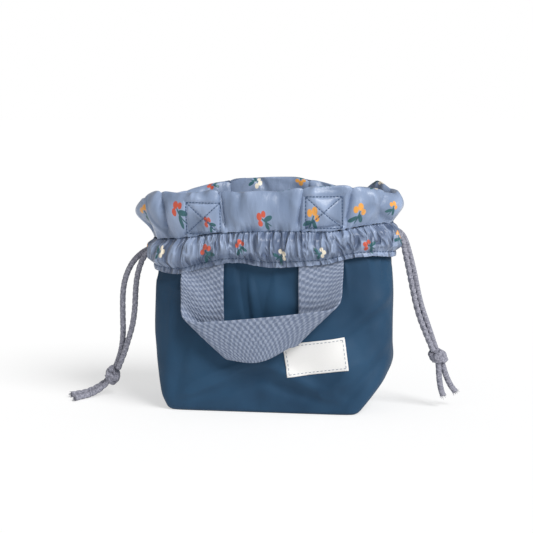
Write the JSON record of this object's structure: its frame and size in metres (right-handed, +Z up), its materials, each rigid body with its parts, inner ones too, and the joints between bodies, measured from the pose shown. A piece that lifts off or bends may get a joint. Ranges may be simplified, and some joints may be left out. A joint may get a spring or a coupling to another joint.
{
  "type": "snack bag",
  "caption": "Small boxed cloth bag with a padded frill mouth, a drawstring casing with two knotted cords, and two webbing handles.",
  "frame": {"origin": "middle of the base on the ground, without the free cords", "axes": "+X to the right of the front, -Y out of the front, +Z up"},
  "size_m": [0.3496, 0.1178, 0.1909],
  "materials": {
    "shell": "navy woven cloth, matt",
    "lining": "pale blue smooth cloth",
    "padding": "white felted wadding",
    "band": "pale slate blue printed satin",
    "webbing": "coarse grey blue woven webbing",
    "cord": "grey braided cord",
    "thread": "dark blue sewing thread",
    "label": "white woven label, blank"
  },
  "bodies": {
    "base": {"shell_base": "shell", "padding_base": "padding", "lining_base": "lining", "shell_left_side": "shell", "shell_right_side": "shell", "padding_left_side": "padding", "padding_right_side": "padding", "lining_left_side": "lining", "lining_right_side": "lining", "casing_left_front_end": "band", "casing_left_back_end": "band", "casing_right_front_end": "band", "casing_right_back_end": "band", "frill_left_end": "band", "frill_right_end": "band"},
    "front_wall": {"shell_front": "shell", "padding_front": "padding", "lining_front": "lining", "casing_front": "band", "frill_front": "band", "casing_seam_stitch_front": "thread", "hem_stitch_front": "thread", "front_left_box_stitch": "thread", "front_right_box_stitch": "thread", "front_handle_left_tab": "webbing", "front_handle_right_tab": "webbing", "label": "label", "label_stitch": "thread", "left_cord_front_run": "cord", "right_cord_front_run": "cord"},
    "back_wall": {"shell_back": "shell", "padding_back": "padding", "lining_back": "lining", "casing_back": "band", "frill_back": "band", "casing_seam_stitch_back": "thread", "hem_stitch_back": "thread", "back_left_box_stitch": "thread", "back_right_box_stitch": "thread", "back_handle_left_tab": "webbing", "back_handle_right_tab": "webbing", "left_cord_back_run": "cord", "right_cord_back_run": "cord"},
    "front_handle": {"front_handle_loop": "webbing"},
    "back_handle": {"back_handle_loop": "webbing"},
    "left_cord": {"left_cord_knot": "cord", "left_cord_front_strand": "cord", "left_cord_back_strand": "cord", "left_cord_front_tail": "cord", "left_cord_back_tail": "cord"},
    "right_cord": {"right_cord_knot": "cord", "right_cord_front_strand": "cord", "right_cord_back_strand": "cord", "right_cord_front_tail": "cord", "right_cord_back_tail": "cord"}
  },
  "joints": [
    {"name": "front_wall_lean", "type": "hinge", "parent": "base", "child": "front_wall", "pos_m": [0, -0.039, 0.005], "axis": [-1, 0, 0], "range_deg": [0, 8], "deforming": ["left_cord_front_run", "right_cord_front_run"]},
    {"name": "back_wall_lean", "type": "hinge", "parent": "base", "child": "back_wall", "pos_m": [0, 0.039, 0.005], "axis": [1, 0, 0], "range_deg": [0, 8], "deforming": ["left_cord_back_run", "right_cord_back_run"]},
    {"name": "left_cord_pull", "type": "slide", "parent": "base", "child": "left_cord", "axis": [-1, 0, 0], "range_m": [0, 0.0189], "deforming": ["left_cord_front_strand", "left_cord_back_strand"]},
    {"name": "right_cord_pull", "type": "slide", "parent": "base", "child": "right_cord", "axis": [1, 0, 0], "range_m": [0, 0.0189], "deforming": ["right_cord_front_strand", "right_cord_back_strand"]},
    {"name": "front_handle_swing", "type": "hinge", "parent": "front_wall", "child": "front_handle", "pos_m": [0, -0.0499, 0.1264], "axis": [-1, 0, 0], "range_deg": [0, 140]},
    {"name": "back_handle_swing", "type": "hinge", "parent": "back_wall", "child": "back_handle", "pos_m": [0, 0.0499, 0.1264], "axis": [1, 0, 0], "range_deg": [0, 140]}
  ],
  "couplings": [
    {"joint": "back_wall_lean", "follows": "front_wall_lean", "ratio": 1},
    {"joint": "left_cord_pull", "follows": "front_wall_lean", "m_per_rad": 0.135},
    {"joint": "right_cord_pull", "follows": "front_wall_lean", "m_per_rad": 0.135}
  ]
}
